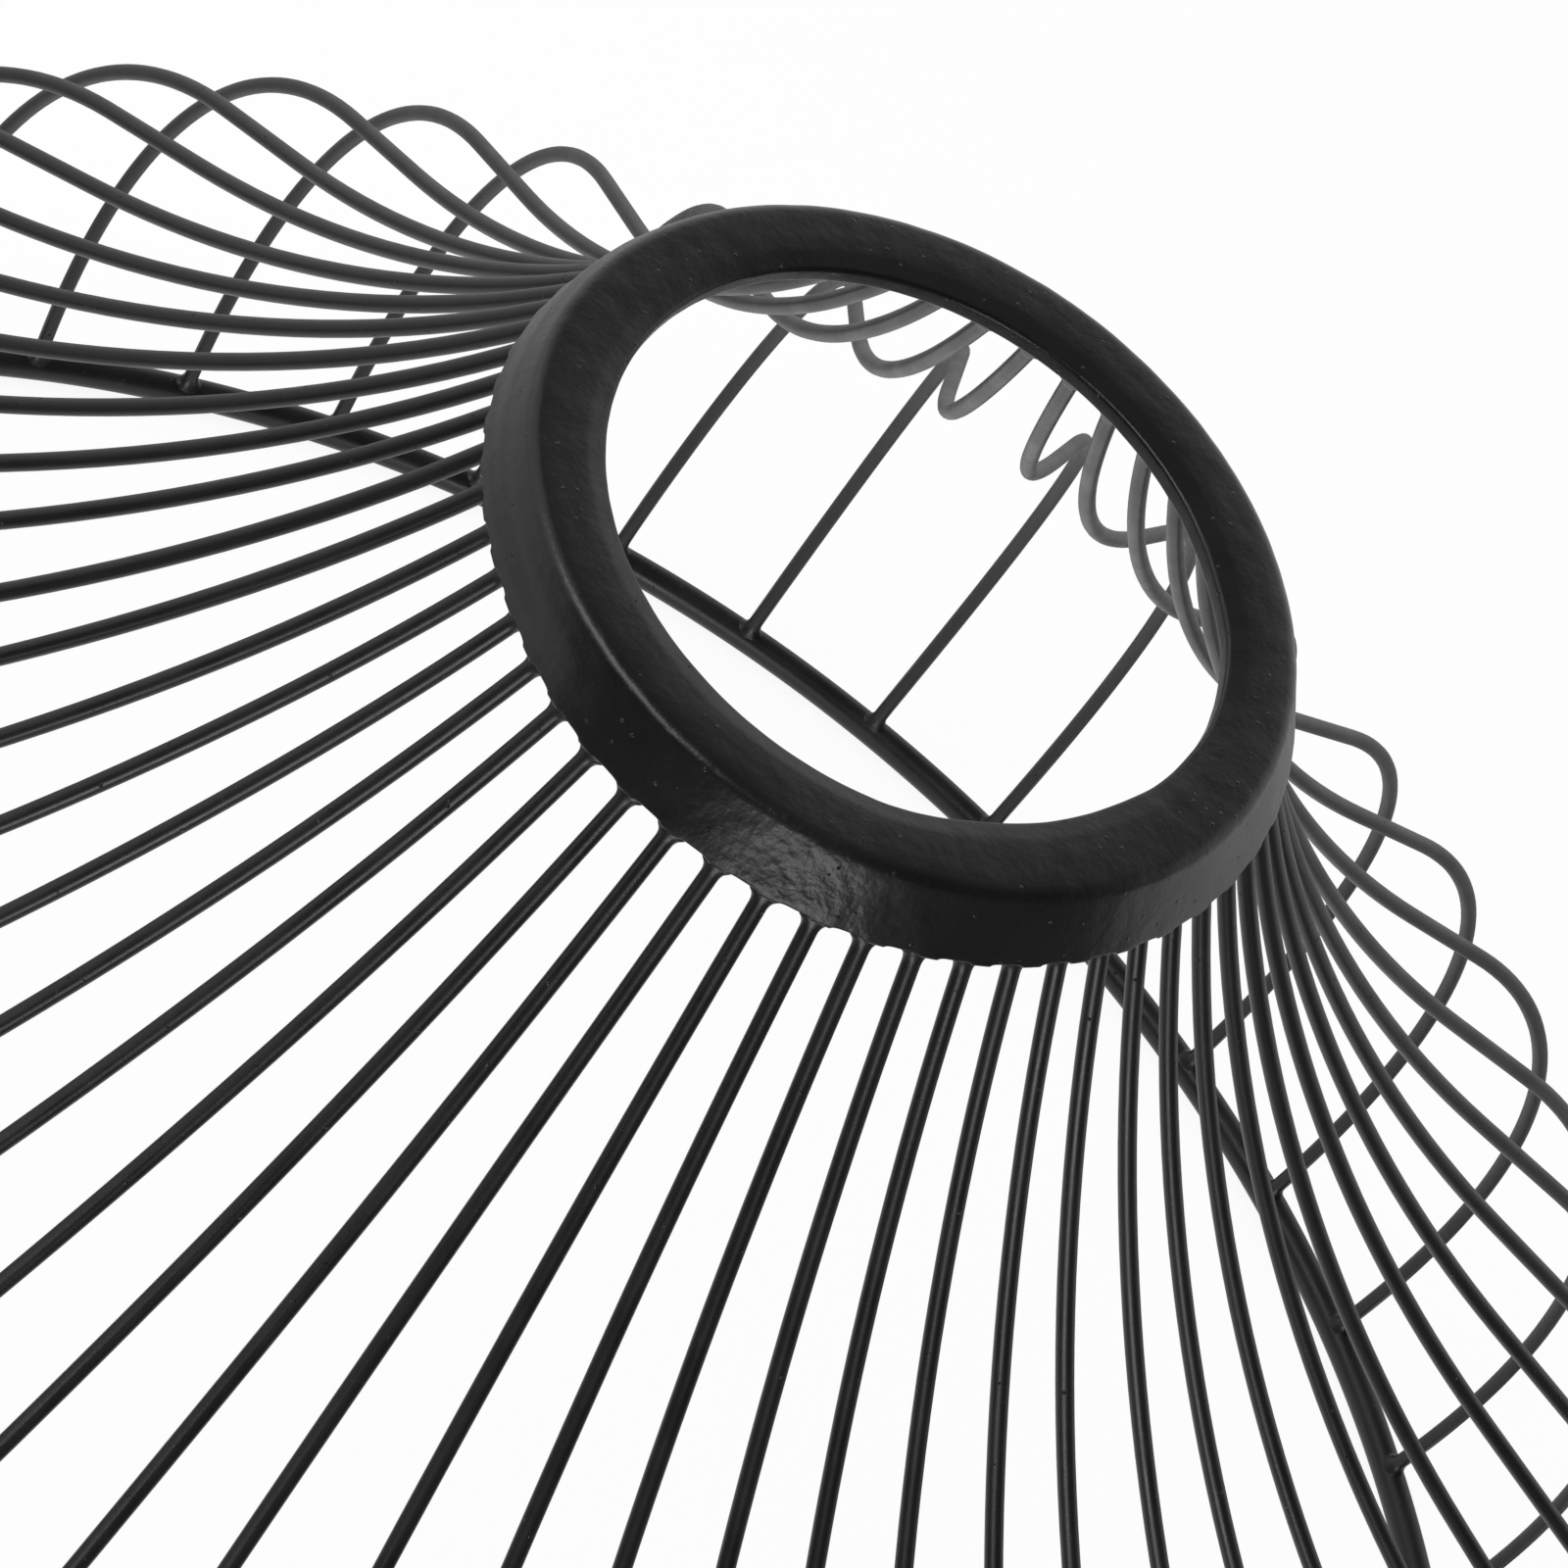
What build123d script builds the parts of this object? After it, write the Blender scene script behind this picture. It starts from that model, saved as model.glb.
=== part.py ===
from build123d import *
import os
from math import cos, pi, radians, sin, sqrt, tan

# Cage lampshade of formed wires, welded inside a pressed neck collar and onto a round base ring.
# Millimetres, +Z up along the shade's axis, origin on the axis at the foot of the base ring.

# Neck collar: a steel ring with a flat face and a sloping wall
hole_d = 42.0  # hole that the lamp holder passes through
face_w = 4.7  # from the hole to the corner of the shoulder
sheet = 1.5  # sheet and its paint
wall_h = 4.4  # from the face down to the outer lower edge
wall_slope = 60.0  # degrees below level, the same for the tops of the wires
hole_bevel = 0.7  # broken upper edge of the hole
shoulder_bevel = 0.7  # outside of the bend between face and wall

# Wire: a straight top, a flare that opens outwards, a waist, and a brim that turns down to the ring
wire_count = 50
wire_d = 1.15  # with its paint
wire_lap = 2.6  # length welded to the inside of the wall
neck_run = 1.5  # straight, below the wall
flare_r = 140.0
waist_slope = 34.0  # degrees below level
waist_run = 13.4
brim_r = 56.0
foot_slope = 104.0  # past upright, so the wire leans in to the ring
weld_gap = 0.05  # between a wire and the wall

# Base ring: a rod bent round and butt-welded
rod_d = 2.6

# Facets: the repeated rods are many-sided, and the wire's bends are short straight runs
wire_sides = 6
rod_sides = 8
flare_runs = 3
brim_runs = 6


def flat_to_centre(diameter, sides):
    """Distance from centre to flat of a regular section with the area of a round rod."""
    return diameter / 2 * sqrt(pi / (sides * tan(pi / sides)))


def step(point, slope, length):
    """The point reached from (radius, height) by going down a slope for a length."""
    radius, height = point
    return radius + length * cos(radians(slope)), height - length * sin(radians(slope))


def bend(point, slope, new_slope, radius, runs):
    """Points on an arc that turns the middle line from one slope to another."""
    points = []
    for run in range(1, runs + 1):
        reached = slope + (new_slope - slope) * run / runs
        chord_slope = (slope + reached) / 2
        chord = 2 * radius * sin(radians(abs(reached - slope) / 2))
        points.append(step(point, chord_slope, chord))
    return points


# Middle line of a wire as (radius, height), with heights below the collar's face
wall_corner_r = hole_d / 2 + face_w
wall_foot = step((wall_corner_r, 0), wall_slope, wall_h / sin(radians(wall_slope)))
wire_flat = flat_to_centre(wire_d, wire_sides)
rod_flat = flat_to_centre(rod_d, rod_sides)
wire_depth = sheet + weld_gap + wire_flat
lap_foot = step(wall_foot, wall_slope + 90, wire_depth)
lap_top = step(lap_foot, wall_slope, -wire_lap)
neck_foot = step(lap_foot, wall_slope, neck_run)
flare = bend(neck_foot, wall_slope, waist_slope, flare_r, flare_runs)
waist_foot = step(flare[-1], waist_slope, waist_run)
brim = bend(waist_foot, waist_slope, foot_slope, brim_r, brim_runs)
ring_r, ring_top = brim[-1]
face_z = 2 * rod_flat - ring_top


def neck_collar():
    """One turn of the pressed section: face, shoulder and sloping wall of an even sheet."""
    inner_foot = step(wall_foot, wall_slope + 90, sheet)
    inner_corner = step(inner_foot, wall_slope, (inner_foot[1] + sheet) / sin(radians(wall_slope)))
    outline = Polyline(
        (hole_d / 2, 0), (wall_corner_r, 0), wall_foot, inner_foot, inner_corner,
        (hole_d / 2, -sheet), close=True,
    )
    section = make_face(outline)
    hole_edge = section.vertices().sort_by_distance((hole_d / 2, 0))[0]
    section = chamfer(hole_edge, hole_bevel)
    shoulder = section.vertices().sort_by_distance((wall_corner_r, 0))[0]
    section = chamfer(shoulder, shoulder_bevel)
    return revolve(Plane.XZ * section, Axis.Z)


def base_ring():
    """The rod's section turned about the axis, with flats at its foot and under the wires."""
    section = RegularPolygon(rod_flat, rod_sides, major_radius=False, rotation=180 / rod_sides)
    return revolve(Plane.XZ * Pos(ring_r, ring_top - rod_flat) * section, Axis.Z)


def formed_wire():
    """A wire in the XZ plane, with a flat against the wall and its foot cut level on the ring."""
    points = [lap_top, neck_foot, *flare, waist_foot, *brim]
    last_slope = foot_slope - (foot_slope - waist_slope) / brim_runs / 2
    points[-1] = step(points[-1], last_slope, wire_d)
    path = Polyline(*[(radius, 0, height) for radius, height in points])
    start = Plane(path @ 0, x_dir=(0, 1, 0), z_dir=path % 0)
    section = start * RegularPolygon(wire_flat, wire_sides, major_radius=False, rotation=0)
    wire = sweep(section, path, transition=Transition.RIGHT)
    return split(wire, Plane.XY.offset(ring_top), keep=Keep.TOP)


parts = {"neck_collar": neck_collar(), "base_ring": base_ring()}
wire = formed_wire()
for turn in range(wire_count):
    parts[f"wire_{turn + 1:02d}"] = wire.rotate(Axis.Z, 360 * turn / wire_count)

os.makedirs("parts", exist_ok=True)
for name, solid in parts.items():
    export_step(Pos(0, 0, face_z) * solid, f"parts/{name}.step")
print(f"overall height {face_z:.2f}, base ring middle diameter {2 * ring_r:.2f}")
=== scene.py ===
import random
from math import acos, ceil, cos, degrees, hypot, pi, radians, sin, sqrt, tan

import bpy
from mathutils import Euler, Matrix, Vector, noise


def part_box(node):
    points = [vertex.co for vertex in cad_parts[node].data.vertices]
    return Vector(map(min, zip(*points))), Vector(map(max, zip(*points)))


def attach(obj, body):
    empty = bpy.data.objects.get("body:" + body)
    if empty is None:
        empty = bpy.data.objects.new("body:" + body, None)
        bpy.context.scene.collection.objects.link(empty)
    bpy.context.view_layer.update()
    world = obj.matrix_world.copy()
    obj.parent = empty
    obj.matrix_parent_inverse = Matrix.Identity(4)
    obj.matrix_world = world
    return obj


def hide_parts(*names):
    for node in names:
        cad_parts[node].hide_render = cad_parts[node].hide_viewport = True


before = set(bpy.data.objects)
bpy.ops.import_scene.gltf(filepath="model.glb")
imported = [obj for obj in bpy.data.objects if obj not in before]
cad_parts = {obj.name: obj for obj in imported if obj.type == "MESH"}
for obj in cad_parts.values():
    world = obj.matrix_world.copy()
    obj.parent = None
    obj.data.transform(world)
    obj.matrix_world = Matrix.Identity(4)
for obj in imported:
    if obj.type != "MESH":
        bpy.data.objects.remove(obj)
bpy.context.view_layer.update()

# Cage lampshade: painted wires welded inside a pressed neck collar and onto a base ring.
# Named lengths are millimetres and named angles degrees. Meshes are made in metres, in the solids' frame.
MM = 0.001
BODY = "root"

# Places that come from the solids
collar_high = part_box("neck_collar")[1]
ring_low, ring_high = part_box("base_ring")
wire_nodes = sorted(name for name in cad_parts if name.startswith("wire_"))
face_z = collar_high.z / MM
rod_r = (ring_high.z - ring_low.z) / MM / 2
ring_r = ring_high.x / MM - rod_r
ring_top = 2 * rod_r
wire_pitch = 2 * pi / len(wire_nodes)  # radians from wire to wire

# Collar section
hole_r = 21.0
face_w = 4.7  # from the hole to the corner of the solid's shoulder
sheet = 1.5
wall_h = 4.4
wall_slope = 60.0  # below level, the same for the tops of the wires
lip_w = 1.4  # sloping band round the hole
lip_drop = 0.32
lip_round = 0.35
lip_bend_round = 2.5  # between the band and the face
lip_foot_round = 0.2
face_crown = 0.1  # rise of the face's middle over its outer edge
crown_round = 12.0
shoulder_out = 0.3  # how far the shoulder's corner, before its rounding, lies beyond the solid's
shoulder_round = 1.15
edge_round = 0.2
inner_edge_round = 0.35
inner_bend_round = 0.5
collar_turns = 18  # mesh columns for each wire
collar_run = 0.4  # longest straight step of the section
arc_step = 9.0  # turned by a step of a rounded corner

# Collar out of round: azimuth of a bend, full within, faded out from, outward shift of the edge
hole_bends = ((-38.0, 10.0, 32.0, -0.45), (17.0, 8.0, 24.0, 0.3))
foot_bends = ((-165.0, 30.0, 60.0, -0.7),)
bend_along = 0.4  # share of a wire's rows below its straight top that follow the wall's foot

# Wire: a straight top, a flare that opens outwards, a waist and a brim that turns down to the ring
wire_r = 0.605
wire_depth = 2.1  # from the outside of the wall to the middle of the wire
wire_lap = 2.6  # behind the wall
neck_run = 1.5  # straight, below the wall
flare_r = 140.0
waist_slope = 34.0
waist_run = 13.4
brim_r = 56.0
foot_slope = 104.0  # past upright, so the wire leans in to the ring
wire_end_round = 0.12
wire_end_share = 0.8  # width of the rounded end's last row
wire_sway = 0.5  # sideways wander of a hand-laid wire between its two welds
sway_seed = 70
wire_sides = 16
lap_rows = 32  # mesh rows of the straight top, then of the two bends
flare_rows = 26
brim_rows = 40

# Welds, smoothed over by the paint
bead_side = 0.45  # swelling of the wire where it leaves the wall
bead_full = 0.7  # how far below the wall's edge it holds
bead_run = 0.75  # fillet that follows
bead_above = 2.2  # where it fades out behind the wall
bead_thick = 0.12  # its share across the wall
tongue_drop = 0.5  # how far the wall's inner lower edge runs down onto a wire
tongue_outside = 0.3  # share of that at the outer edge
tongue_side = 0.7  # fillet beside the wire
tongue_fade = 1.2  # height of the wall that runs down with its edge
foot_along = 0.75  # fillet at the ring, along the rod
foot_across = 0.35
foot_rise = 0.75
foot_sunk = 0.04  # how deep the fillet's lower edge lies in the rod
foot_rows = 8

# Base ring mesh
ring_columns = 900
rod_sides = 24

# Unevenness of the collar's paint as real relief, with a rough patch on the near side of the wall
peel_size = 1.6
peel_depth = 0.026
patch_azimuth = -77.0
patch_reach = 7.0
lump_size = 2.0  # lumps of the patch
lump_depth = 0.06

# Paint, with the fine relief of its film
paint_specular = 0.36
paint_blue = 1.04
mottle_size = 5.5
mottle_detail = 4.0
mottle_roughness = 0.6
mottle_span = (0.3, 0.7)  # range of the noise over which tone and roughness change
grain_detail = 3.0
nib_spacing = 0.95
nib_size = 0.15
nib_top = 0.2  # share of a speck that is its flat top
nib_depth = 0.12
film_size = 0.8  # grain of the patch's rough film
film_depth = 0.11
film_detail = 2.0
film_roughness = 0.45
film_dull = 0.11  # what the film adds to the paint's roughness
film_full = 0.3  # share of the patch's reach within which the film is whole
film_rest = 0.1  # share of the film on the rest of the collar

# Studio
floor_half = 6000.0
floor_tone = 0.95
floor_shadow = 0.08  # share of the lit floor in what the eye and the paint see; the rest is plain white
card_lift = 0.3  # of the cards over the floor
card_columns = 12
card_roughness = 0.9
studio_back = 65.0  # azimuth of the white wall
studio_front = -65.0  # azimuth of the dark side
studio_dim = 0.12  # strength overhead, where white is 1
studio_dark = 0.12  # share of the strength that is left on the dark side
dark_span = (70.0, 105.0)  # dark up to this angle from the front, clear from that
studio_gradients = ((0.0, 4.0, 8.0), (25.0, 2.0, 30.0))  # lean to the back, white up to, dim from

# Camera, at the photograph's angle
camera_at = (-1.43, -309.81, 420.63)
camera_turn = (37.4354, -24.7337, 27.9694)
camera_lens = 160.385
camera_sensor = 36.0
camera_near = 10.0


def step(point, slope, length):
    """The point reached from (radius, height) by going down a slope for a length."""
    radius, height = point
    return radius + length * cos(radians(slope)), height - length * sin(radians(slope))


def bend(point, slope, new_slope, radius, count):
    """Stations (radius, height, slope) along an arc that turns from one slope to another."""
    stations = []
    for n in range(1, count + 1):
        reached = slope + (new_slope - slope) * n / count
        chord = 2 * radius * sin(radians(abs(reached - slope) / 2))
        stations.append((*step(point, (slope + reached) / 2, chord), reached))
    return stations


def hollow(share):
    """Profile of a concave fillet: 1 where it starts, 0 where it runs out."""
    share = min(max(share, 0), 1)
    return 1 - sqrt(1 - (1 - share) ** 2)


def fade(share):
    """Smooth fall from 1 to 0 as share goes from 0 to 1."""
    share = min(max(share, 0), 1)
    return 1 - share * share * (3 - 2 * share)


def around(radius, angle, height):
    """The point at a radius, an angle in radians round the axis, and a height."""
    return Vector((radius * cos(angle), radius * sin(angle), height))


def toward(azimuth, elevation):
    """The direction at an azimuth and an elevation."""
    return around(cos(radians(elevation)), radians(azimuth), sin(radians(elevation)))


# Corners and directions that the collar and the wires share
under_z = face_z - sheet
wall_corner = (hole_r + face_w, face_z)
wall_foot = step(wall_corner, wall_slope, wall_h / sin(radians(wall_slope)))
wall_edge = Vector(wall_foot)
wall_down = Vector((cos(radians(wall_slope)), -sin(radians(wall_slope))))
wall_out = Vector((-wall_down.y, wall_down.x))
lap_foot = step(wall_foot, wall_slope + 90, wire_depth)
patch_middle = around(wall_foot[0], radians(patch_azimuth), (wall_foot[1] + face_z) / 2)


def add_piece(name, points, faces, material, nodes):
    """A smooth mesh from points in millimetres, riding on the body in place of its CAD nodes."""
    mesh = bpy.data.meshes.new(name)
    mesh.from_pydata([Vector(p) * MM for p in points], [], faces)
    mesh.polygons.foreach_set("use_smooth", [True] * len(mesh.polygons))
    mesh.materials.append(material)
    mesh.validate()
    piece = bpy.data.objects.new(name, mesh)
    bpy.context.scene.collection.objects.link(piece)
    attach(piece, BODY)
    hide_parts(*nodes)


def skin(rows, columns, closed):
    """Quads between rows of points that each close round; closed rows close on each other too."""
    faces = []
    last = rows if closed else rows - 1
    for row in range(last):
        low = row * columns
        high = (row + 1) % rows * columns
        for column in range(columns):
            beside = (column + 1) % columns
            faces.append((low + column, low + beside, high + beside, high + column))
    return faces


def rounded(corners):
    """Points round a closed section whose corners (radius, height, rounding) are arcs."""
    points = []
    for n, (radius, height, rounding) in enumerate(corners):
        here = Vector((radius, height))
        back = (Vector(corners[n - 1][:2]) - here).normalized()
        on = (Vector(corners[(n + 1) % len(corners)][:2]) - here).normalized()
        half = acos(max(-1, min(1, back.dot(on)))) / 2
        start = here + back * rounding / tan(half)
        centre = here + (back + on).normalized() * rounding / sin(half)
        turn = pi - 2 * half
        side = 1 if back.x * on.y - back.y * on.x > 0 else -1
        steps = ceil(turn / radians(arc_step))
        spoke = start - centre
        for k in range(steps + 1):
            angle = -side * turn * k / steps
            points.append(centre + Vector((
                spoke.x * cos(angle) - spoke.y * sin(angle),
                spoke.x * sin(angle) + spoke.y * cos(angle),
            )))
    return points


def divided(points, longest):
    """The closed line with its long runs cut into even steps."""
    line = []
    for n, point in enumerate(points):
        gap = points[(n + 1) % len(points)] - point
        count = max(1, ceil(gap.length / longest))
        line += [point + gap * k / count for k in range(count)]
    return line


def out_of_round(angle, bends):
    """How far the bends of an edge move it outwards at an angle."""
    shift = 0.0
    for middle, full, clear, depth in bends:
        apart = abs((degrees(angle) - middle + 180) % 360 - 180)
        shift += depth * fade((apart - full) / (clear - full))
    return shift


def weld_tongue(angle, radius):
    """How far the wall's lower edge runs down at an angle, as a share of the drop over a wire."""
    nearest = round(angle / wire_pitch) * wire_pitch
    beside = abs(angle - nearest) * radius - wire_r
    return hollow(beside / tongue_side)


def collar_relief(point, normal):
    """Height of the paint's own unevenness at a point of the collar."""
    peel = noise.noise(point / peel_size) * peel_depth
    share = fade((point - patch_middle).length / patch_reach)
    outward = max(0, normal.x * cos(radians(patch_azimuth)) + normal.y * sin(radians(patch_azimuth)))
    lumps = noise.noise(point / lump_size) * lump_depth
    return peel + lumps * share * outward


def collar_section():
    """Points (radius, height) round the pressed section, with its corners rounded."""
    inner_foot = step(wall_foot, wall_slope + 90, sheet)
    inner_corner = step(inner_foot, wall_slope, (inner_foot[1] - under_z) / sin(radians(wall_slope)))
    corners = [
        (hole_r, face_z - lip_drop, lip_round),
        (hole_r + lip_w, face_z, lip_bend_round),
        ((hole_r + lip_w + wall_corner[0]) / 2, face_z + face_crown, crown_round),
        (wall_corner[0] + shoulder_out, face_z, shoulder_round),
        (*wall_foot, edge_round),
        (*inner_foot, inner_edge_round),
        (*inner_corner, inner_bend_round),
        (hole_r, under_z, lip_foot_round),
    ]
    return divided(rounded(corners), collar_run)


def collar_row(here, normal, columns):
    """Points round the collar for a point of its section, with its bends, welds and uneven paint."""
    above = (wall_edge - here).dot(wall_down)
    inside = (wall_edge - here).dot(wall_out) / sheet
    run_down = tongue_outside + (1 - tongue_outside) * inside
    drop = tongue_drop * fade(above / tongue_fade) * run_down
    at_hole = fade((here.x - hole_r) / face_w)
    at_foot = 1 - fade((under_z - here.y) / (under_z - wall_edge.y))
    row = []
    for column in range(columns):
        angle = 2 * pi * column / columns
        moved = here + wall_down * drop * weld_tongue(angle, here.x)
        moved.x += at_hole * out_of_round(angle, hole_bends)
        moved.x += at_foot * out_of_round(angle, foot_bends)
        point = around(moved.x, angle, moved.y)
        facing = around(normal.x, angle, normal.y)
        row.append(point + facing * collar_relief(point, facing))
    return row


def make_collar(material):
    """The pressed collar: its rounded section turned about the axis."""
    section = collar_section()
    columns = collar_turns * len(wire_nodes)
    points = []
    for n, here in enumerate(section):
        along = section[(n + 1) % len(section)] - section[n - 1]
        normal = Vector((-along.y, along.x)).normalized()
        points += collar_row(here, normal, columns)
    faces = [tuple(reversed(face)) for face in skin(len(section), columns, closed=True)]
    add_piece("painted_collar", points, faces, material, ["neck_collar"])


def make_ring(material):
    """The round rod of the base ring."""
    points = []
    for side in range(rod_sides):
        turn = 2 * pi * side / rod_sides
        radius = ring_r + rod_r * cos(turn)
        for column in range(ring_columns):
            angle = 2 * pi * column / ring_columns
            points.append(around(radius, angle, rod_r + rod_r * sin(turn)))
    faces = skin(rod_sides, ring_columns, closed=True)
    add_piece("painted_base_ring", points, faces, material, ["base_ring"])


def wire_line():
    """Stations (radius, height, slope, swelling) of a wire from its top end to its foot fillet."""
    line = []
    for n in range(lap_rows + 1):
        below = -wire_lap + (wire_lap + neck_run) * n / lap_rows
        swelling = bead_side * min(hollow((below - bead_full) / bead_run), fade(-below / bead_above))
        line.append((*step(lap_foot, wall_slope, below), wall_slope, swelling))
    flare = bend(line[-1][:2], wall_slope, waist_slope, flare_r, flare_rows)
    waist = [(*step(flare[-1][:2], waist_slope, waist_run), waist_slope)]
    brim = bend(waist[-1][:2], waist_slope, foot_slope, brim_r, brim_rows)
    line += [(*station, 0.0) for station in flare + waist + brim]
    return [station for station in line if station[1] > ring_top + foot_rise]


def wire_row(radius, height, slope, swelling, sway):
    """Points round a wire at a station, for a wire that lies along +X."""
    lean = radians(slope)
    row = []
    for n in range(wire_sides):
        turn = 2 * pi * n / wire_sides
        side = cos(turn) * (wire_r + swelling) + sway
        out = sin(turn) * (wire_r + swelling * bead_thick)
        row.append(Vector((radius + out * sin(lean), side, height + out * cos(lean))))
    return row


def foot_row(share):
    """Points round the fillet between a wire and the rod, from the wire to the rod's surface."""
    spread = 1 - cos(share * pi / 2)
    rise = foot_rise * (1 - sin(share * pi / 2))
    middle = ring_r + rise * tan(radians(foot_slope - 90))
    row = []
    for n in range(wire_sides):
        turn = 2 * pi * n / wire_sides
        side = cos(turn) * (wire_r + foot_along * spread)
        radius = middle + sin(turn) * (wire_r + foot_across * spread)
        off_rod = hypot(radius, side) - ring_r
        surface = sqrt(max(rod_r ** 2 - off_rod ** 2, 0)) - rod_r
        row.append(Vector((radius, side, ring_top + rise + surface * share - foot_sunk * share)))
    return row


def wire_rows(line, shift, wander):
    """Rows of a wire along +X: its rounded top end, its wandering length and the fillet at its foot."""
    sway_a = wander.uniform(-wire_sway, wire_sway)
    sway_b = wander.uniform(-wire_sway, wire_sway)
    rows = []
    for k, (radius, *rest) in enumerate(line):
        share = max(0, (k - lap_rows) / (len(line) - 1 - lap_rows))
        sway = sway_a * sin(pi * share) + sway_b * sin(2 * pi * share) / 2
        rows.append(wire_row(radius + shift * fade(share / bend_along), *rest, sway))
    rows += [foot_row(k / foot_rows) for k in range(foot_rows + 1)]
    top_radius, top_height, top_slope = line[0][:3]
    middle = Vector((top_radius + shift, 0, top_height))
    on = Vector((cos(radians(top_slope)), 0, -sin(radians(top_slope)))) * wire_end_round
    rows.insert(0, [middle - on + (p - middle) * wire_end_share for p in rows[0]])
    return rows


def make_wire(n, line, wander, material):
    """One wire with its two welds, turned to its place."""
    angle = n * wire_pitch
    rows = wire_rows(line, out_of_round(angle, foot_bends), wander)
    points = []
    for row in rows:
        for p in row:
            points.append((
                p.x * cos(angle) - p.y * sin(angle),
                p.x * sin(angle) + p.y * cos(angle),
                p.z,
            ))
    last = (len(rows) - 1) * wire_sides
    faces = skin(len(rows), wire_sides, closed=False)
    faces.append(tuple(reversed(range(wire_sides))))
    faces.append(tuple(range(last, last + wire_sides)))
    add_piece(f"painted_{wire_nodes[n]}", points, faces, material, [wire_nodes[n]])


def add_node(tree, kind, **values):
    """A shader node with its own settings and its unlinked inputs set by name."""
    node = tree.nodes.new(kind)
    for key, value in values.items():
        socket = node.inputs.get(key.replace("_", " ").title())
        if socket is None:
            setattr(node, key, value)
        else:
            socket.default_value = value
    return node


def add_bump(tree, height, normal, depth):
    """The normal of a surface raised by a height of 0 to 1 times a depth in millimetres."""
    bump = add_node(tree, "ShaderNodeBump", strength=1.0, distance=depth * MM)
    tree.links.new(height, bump.inputs["Height"])
    if normal is not None:
        tree.links.new(normal, bump.inputs["Normal"])
    return bump.outputs["Normal"]


def add_range(tree, value, low, high, low_to=0.0, high_to=1.0):
    """A value's range from low to high taken smoothly to another range."""
    node = add_node(tree, "ShaderNodeMapRange", interpolation_type="SMOOTHSTEP")
    for key, number in (("From Min", low), ("From Max", high), ("To Min", low_to), ("To Max", high_to)):
        node.inputs[key].default_value = number
    tree.links.new(value, node.inputs["Value"])
    return node.outputs["Result"]


def add_noise(tree, place, size, detail, roughness=0.5):
    """Noise with lumps of a size in millimetres."""
    node = add_node(tree, "ShaderNodeTexNoise", scale=1 / (size * MM), detail=detail, roughness=roughness)
    tree.links.new(place, node.inputs["Vector"])
    return node.outputs["Fac"]


def add_math(tree, operation, *values):
    """The result of a sum, product or the like of two values, each a socket or a number."""
    node = add_node(tree, "ShaderNodeMath", operation=operation)
    for socket, value in zip(node.inputs, values):
        if isinstance(value, float):
            socket.default_value = value
        else:
            tree.links.new(value, socket)
    return node.outputs["Value"]


def add_vector_math(tree, operation, place, other):
    """The number that a place and a fixed vector give, such as their distance."""
    node = add_node(tree, "ShaderNodeVectorMath", operation=operation)
    tree.links.new(place, node.inputs[0])
    node.inputs[1].default_value = other
    return node.outputs["Value"]


def add_nibs(tree, place, share):
    """Specks of dust under the paint: round bumps in a share of the cells of a grid."""
    cells = add_node(tree, "ShaderNodeTexVoronoi", scale=1 / (nib_spacing * MM))
    tree.links.new(place, cells.inputs["Vector"])
    pick = add_node(tree, "ShaderNodeSeparateColor")
    tree.links.new(cells.outputs["Color"], pick.inputs["Color"])
    chosen = add_range(tree, pick.outputs["Red"], 1 - share, 1.0)
    edge = nib_size / nib_spacing
    top = add_range(tree, cells.outputs["Distance"], edge, nib_top * edge)
    return add_math(tree, "MULTIPLY", top, chosen)


def add_patch(tree, place, normal, dull):
    """The paint's normal and roughness with the patch's rough film laid over them."""
    away = add_vector_math(tree, "DISTANCE", place, patch_middle * MM)
    near = add_range(tree, away, patch_reach * MM, film_full * patch_reach * MM, film_rest, 1.0)
    film = add_noise(tree, place, film_size, film_detail, film_roughness)
    normal = add_bump(tree, add_math(tree, "MULTIPLY", film, near), normal, film_depth)
    dull = add_math(tree, "ADD", dull, add_range(tree, near, 0.0, 1.0, 0.0, film_dull))
    return normal, dull


def make_paint(name, tones, roughness, grain_size, grain_depth, nib_share, patch=False):
    """Satin black paint: mottled tone and roughness, orange peel, nibs and, if asked, the rough patch."""
    material = bpy.data.materials.new(name)
    material.use_nodes = True
    tree = material.node_tree
    shader = tree.nodes["Principled BSDF"]
    shader.inputs["Specular IOR Level"].default_value = paint_specular
    place = add_node(tree, "ShaderNodeTexCoord").outputs["Object"]
    mottle = add_noise(tree, place, mottle_size, mottle_detail, mottle_roughness)
    colour = add_node(tree, "ShaderNodeMix", data_type="RGBA")
    tree.links.new(add_range(tree, mottle, *mottle_span), colour.inputs["Factor"])
    for key, tone in zip("AB", tones):
        colour.inputs[key].default_value = (tone, tone, tone * paint_blue, 1)
    dull = add_range(tree, mottle, *mottle_span, *roughness)
    normal = add_bump(tree, add_noise(tree, place, grain_size, grain_detail), None, grain_depth)
    normal = add_bump(tree, add_nibs(tree, place, nib_share), normal, nib_depth)
    if patch:
        normal, dull = add_patch(tree, place, normal, dull)
    tree.links.new(colour.outputs["Result"], shader.inputs["Base Color"])
    tree.links.new(dull, shader.inputs["Roughness"])
    tree.links.new(normal, shader.inputs["Normal"])
    return material


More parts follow.
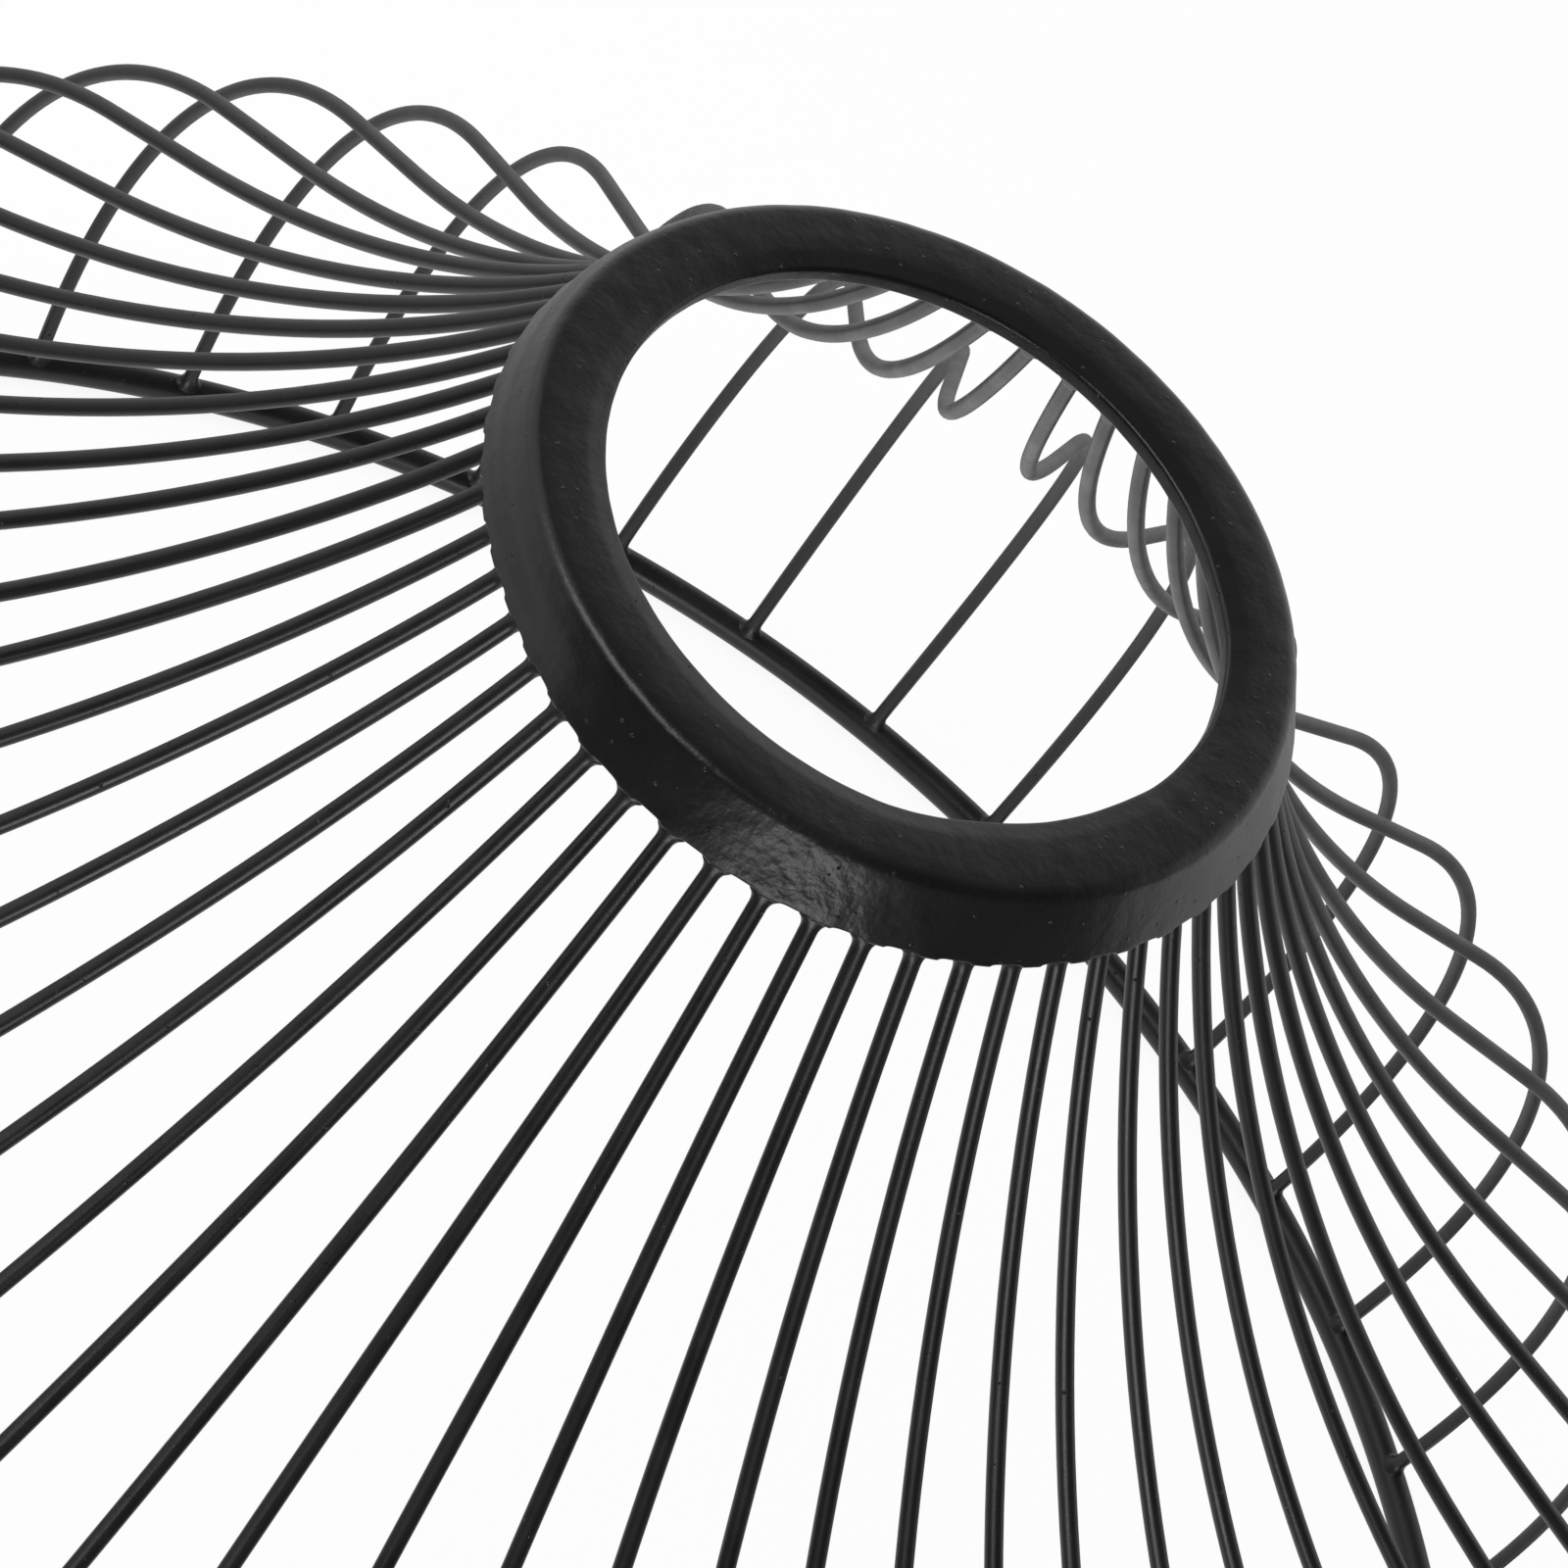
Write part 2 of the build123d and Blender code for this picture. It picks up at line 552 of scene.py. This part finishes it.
def floor_white():
    """White with a share of the shade's soft shadow, and a plain lit surface for the light it returns."""
    material = bpy.data.materials.new("floor_white")
    material.use_nodes = True
    tree = material.node_tree
    tree.nodes.remove(tree.nodes["Principled BSDF"])
    lit = add_node(tree, "ShaderNodeBsdfDiffuse", color=(floor_tone, floor_tone, floor_tone, 1))
    plain = add_node(tree, "ShaderNodeEmission", color=(1, 1, 1, 1), strength=1.0)
    rays = add_node(tree, "ShaderNodeLightPath").outputs
    mirrored = add_math(tree, "MAXIMUM", rays["Is Glossy Ray"], rays["Is Transmission Ray"])
    seen = add_math(tree, "MAXIMUM", rays["Is Camera Ray"], mirrored)
    mix = add_node(tree, "ShaderNodeMixShader")
    tree.links.new(add_math(tree, "MULTIPLY", seen, 1 - floor_shadow), mix.inputs["Fac"])
    tree.links.new(lit.outputs["BSDF"], mix.inputs[1])
    tree.links.new(plain.outputs["Emission"], mix.inputs[2])
    tree.links.new(mix.outputs["Shader"], tree.nodes["Material Output"].inputs["Surface"])
    return material


def make_floor():
    """A wide pale floor under the shade."""
    half = floor_half * MM
    corners = [(-half, -half, 0), (half, -half, 0), (half, half, 0), (-half, half, 0)]
    mesh = bpy.data.meshes.new("floor")
    mesh.from_pydata(corners, [], [(0, 1, 2, 3)])
    floor = bpy.data.objects.new("floor", mesh)
    bpy.context.scene.collection.objects.link(floor)
    mesh.materials.append(floor_white())


def make_world():
    """A studio that is white near the horizon and behind the shade, and dim overhead and in front."""
    world = bpy.data.worlds.new("studio")
    bpy.context.scene.world = world
    world.use_nodes = True
    tree = world.node_tree
    place = add_node(tree, "ShaderNodeTexCoord").outputs["Generated"]
    levels = []
    for lean, white_to, dim_from in studio_gradients:
        height = add_vector_math(tree, "DOT_PRODUCT", place, toward(studio_back, 90 + lean))
        ends = [sin(radians(angle)) for angle in (white_to, dim_from)]
        levels.append(add_range(tree, height, *ends, 1.0, studio_dim))
    ahead = add_vector_math(tree, "DOT_PRODUCT", place, toward(studio_front, 0))
    ends = [cos(radians(angle)) for angle in dark_span]
    shade = add_range(tree, ahead, *ends, studio_dark, 1.0)
    strength = add_math(tree, "MULTIPLY", add_math(tree, "MAXIMUM", *levels), shade)
    background = tree.nodes["Background"]
    tree.links.new(strength, background.inputs["Strength"])
    background.inputs["Color"].default_value = (1, 1, 1, 1)


def add_softbox(name, azimuth, elevation, distance, size, level, mirrored=True):
    """A lamp aimed at the collar; level is what it adds to a white surface that faces it."""
    lamp = bpy.data.lights.new(name, "AREA")
    lamp.shape = "RECTANGLE"
    lamp.size, lamp.size_y = [side * MM for side in size]
    lamp.energy = level * (pi * distance * MM) ** 2
    light = bpy.data.objects.new(name, lamp)
    direction = toward(azimuth, elevation)
    light.location = (Vector((0, 0, face_z)) + direction * distance) * MM
    light.rotation_euler = direction.to_track_quat("Z", "Y").to_euler()
    light.visible_glossy = mirrored  # whether the paint shows it
    bpy.context.scene.collection.objects.link(light)


def card_grey(name, tone):
    """A dull grey."""
    material = bpy.data.materials.new(name)
    material.use_nodes = True
    shader = material.node_tree.nodes["Principled BSDF"]
    shader.inputs["Base Color"].default_value = (tone, tone, tone, 1)
    shader.inputs["Roughness"].default_value = card_roughness
    return material


def add_card(name, tone, azimuths, radii):
    """A card on the floor between two azimuths and two radii, seen in the paint's reflections alone."""
    first, last = azimuths
    points = []
    for k in range(card_columns + 1):
        angle = radians(first + (last - first) * k / card_columns)
        points += [around(radius, angle, card_lift) * MM for radius in radii]
    faces = [(2 * k, 2 * k + 2, 2 * k + 3, 2 * k + 1) for k in range(card_columns)]
    mesh = bpy.data.meshes.new(name)
    mesh.from_pydata(points, [], faces)
    card = bpy.data.objects.new(name, mesh)
    bpy.context.scene.collection.objects.link(card)
    card.visible_camera = False
    card.visible_diffuse = False
    card.visible_shadow = False
    mesh.materials.append(card_grey(name, tone))


def make_camera():
    """The camera that sees the shade as the photograph does."""
    camera = bpy.data.objects.new("camera", bpy.data.cameras.new("camera"))
    camera.data.lens = camera_lens
    camera.data.sensor_width = camera_sensor
    camera.data.clip_start = camera_near * MM
    camera.location = Vector(camera_at) * MM
    camera.rotation_euler = Euler([radians(turn) for turn in camera_turn])
    bpy.context.scene.collection.objects.link(camera)
    bpy.context.scene.camera = camera


# The shade
collar_paint = make_paint(
    "collar_paint", tones=(0.0058, 0.0072), roughness=(0.27, 0.31),
    grain_size=0.55, grain_depth=0.024, nib_share=0.6, patch=True,
)
wire_paint = make_paint(
    "wire_paint", tones=(0.006, 0.009), roughness=(0.35, 0.43),
    grain_size=0.22, grain_depth=0.01, nib_share=0.4,
)
make_collar(collar_paint)
make_ring(wire_paint)
wander = random.Random(sway_seed)
line = wire_line()
for n in range(len(wire_nodes)):
    make_wire(n, line, wander, wire_paint)

# The stage
make_floor()
make_world()
add_softbox("front_softbox", azimuth=-70, elevation=-4, distance=550, size=(220, 160), level=0.45)
add_softbox("top_softbox", azimuth=-137, elevation=50, distance=900, size=(700, 300), level=0.38)
add_softbox("left_softbox", azimuth=178, elevation=36, distance=900, size=(1100, 900), level=0.35)
add_softbox(
    "fill_softbox", azimuth=100, elevation=70, distance=1200, size=(1200, 1200), level=0.55,
    mirrored=False,
)
add_card("front_card", tone=0.3, azimuths=(-138, 8), radii=(120, 5000))
add_card("rear_card", tone=0.52, azimuths=(30, 210), radii=(112, 300))
make_camera()
bpy.context.scene.view_settings.view_transform = "Standard"
